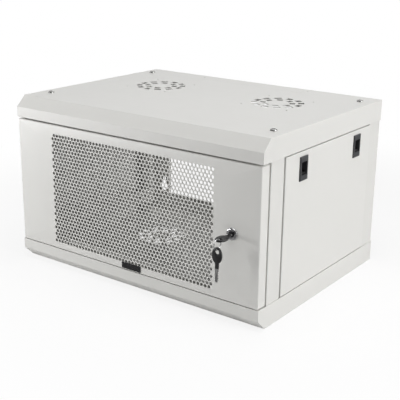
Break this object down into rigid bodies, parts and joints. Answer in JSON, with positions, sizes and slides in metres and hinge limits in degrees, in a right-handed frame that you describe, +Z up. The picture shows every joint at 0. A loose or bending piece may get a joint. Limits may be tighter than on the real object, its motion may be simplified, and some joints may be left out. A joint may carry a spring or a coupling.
{
  "type": "wall mount network cabinet",
  "caption": "Wall mount rack cabinet: bevelled covers, perforated locking door, lift-off side panels, inner rack rails, open keyhole back.",
  "frame": {"origin": "centre of the four wall keyhole mouths, on the wall side of the rear columns", "axes": "+X to the right seen from the door, +Y into the wall, +Z up"},
  "size_m": [0.606, 0.5052, 0.3553],
  "materials": {
    "cover_paint": "light grey powder coat, semi-gloss",
    "frame_paint": "light grey powder coat, semi-gloss",
    "door_paint": "light grey powder coat, semi-gloss",
    "panel_paint": "light grey powder coat, semi-gloss",
    "zinc_steel": "bright zinc plated steel",
    "screw_chrome": "nickel plated",
    "lock_chrome": "polished chrome plate",
    "lock_core": "dark plated core",
    "badge_black": "plain black plate",
    "bow_black": "black moulded plastic",
    "latch_grey": "dark grey moulded plastic",
    "latch_black": "black moulded plastic",
    "bush_nylon": "natural nylon"
  },
  "bodies": {
    "cabinet": {"top_cover": "cover_paint", "bottom_cover": "cover_paint", "front_left_column": "frame_paint", "front_right_column": "frame_paint", "rear_left_column": "frame_paint", "rear_right_column": "frame_paint", "left_rack_rail": "frame_paint", "right_rack_rail": "frame_paint", "lower_left_bracket": "frame_paint", "lower_right_bracket": "frame_paint", "upper_left_bracket": "frame_paint", "upper_right_bracket": "frame_paint", "roof_cable_cover": "cover_paint", "base_cable_cover": "cover_paint", "cable_cover_screws": "zinc_steel", "roof_bolts": "screw_chrome", "base_bolts": "screw_chrome", "bracket_screws": "zinc_steel", "rail_screws": "zinc_steel", "rail_nuts": "zinc_steel", "hinge_bushes": "bush_nylon"},
    "door": {"door_skin": "door_paint", "door_frame": "door_paint", "badge_plate": "badge_black", "hinge_pins": "zinc_steel", "lock_housing": "lock_chrome", "lock_nut": "zinc_steel"},
    "lock": {"lock_plug": "lock_core", "lock_cam": "zinc_steel", "cam_screw": "zinc_steel", "key_blade": "zinc_steel", "key_bow": "bow_black"},
    "key_ring": {"key_ring": "lock_chrome"},
    "spare_key": {"spare_key_blade": "zinc_steel", "spare_key_bow": "bow_black"},
    "left_panel": {"left_side_panel": "panel_paint", "front_left_latch_housing": "latch_grey", "rear_left_latch_housing": "latch_grey"},
    "front_left_latch": {"front_left_latch_slider": "latch_black"},
    "rear_left_latch": {"rear_left_latch_slider": "latch_black"},
    "right_panel": {"right_side_panel": "panel_paint", "front_right_latch_housing": "latch_grey", "rear_right_latch_housing": "latch_grey"},
    "front_right_latch": {"front_right_latch_slider": "latch_black"},
    "rear_right_latch": {"rear_right_latch_slider": "latch_black"}
  },
  "joints": [
    {"name": "door_swing", "type": "hinge", "parent": "cabinet", "child": "door", "pos_m": [-0.2915, -0.4339, 0.02385], "axis": [0, 0, -1], "range_deg": [0, 120]},
    {"name": "lock_turn", "type": "hinge", "parent": "door", "child": "lock", "pos_m": [0.24, -0.4484, 0.0225], "axis": [0, -1, 0], "range_deg": [0, 90]},
    {"name": "key_ring_swing", "type": "hinge", "parent": "lock", "child": "key_ring", "pos_m": [0.24, -0.4928, 0.0258], "axis": [0, 1, 0], "range_deg": [-20, 20]},
    {"name": "spare_key_swing", "type": "hinge", "parent": "key_ring", "child": "spare_key", "pos_m": [0.24, -0.4928, 0.0058], "axis": [0, 1, 0], "range_deg": [-45, 45]},
    {"name": "left_panel_tilt", "type": "hinge", "parent": "cabinet", "child": "left_panel", "pos_m": [-0.3, -0.21035, -0.1085], "axis": [0, -1, 0], "range_deg": [0, 30]},
    {"name": "front_left_latch_slide", "type": "slide", "parent": "left_panel", "child": "front_left_latch", "axis": [0, 0, 1], "range_m": [0, 0.007]},
    {"name": "rear_left_latch_slide", "type": "slide", "parent": "left_panel", "child": "rear_left_latch", "axis": [0, 0, 1], "range_m": [0, 0.007]},
    {"name": "right_panel_tilt", "type": "hinge", "parent": "cabinet", "child": "right_panel", "pos_m": [0.3, -0.21035, -0.1085], "axis": [0, 1, 0], "range_deg": [0, 30]},
    {"name": "front_right_latch_slide", "type": "slide", "parent": "right_panel", "child": "front_right_latch", "axis": [0, 0, 1], "range_m": [0, 0.007]},
    {"name": "rear_right_latch_slide", "type": "slide", "parent": "right_panel", "child": "rear_right_latch", "axis": [0, 0, 1], "range_m": [0, 0.007]}
  ]
}
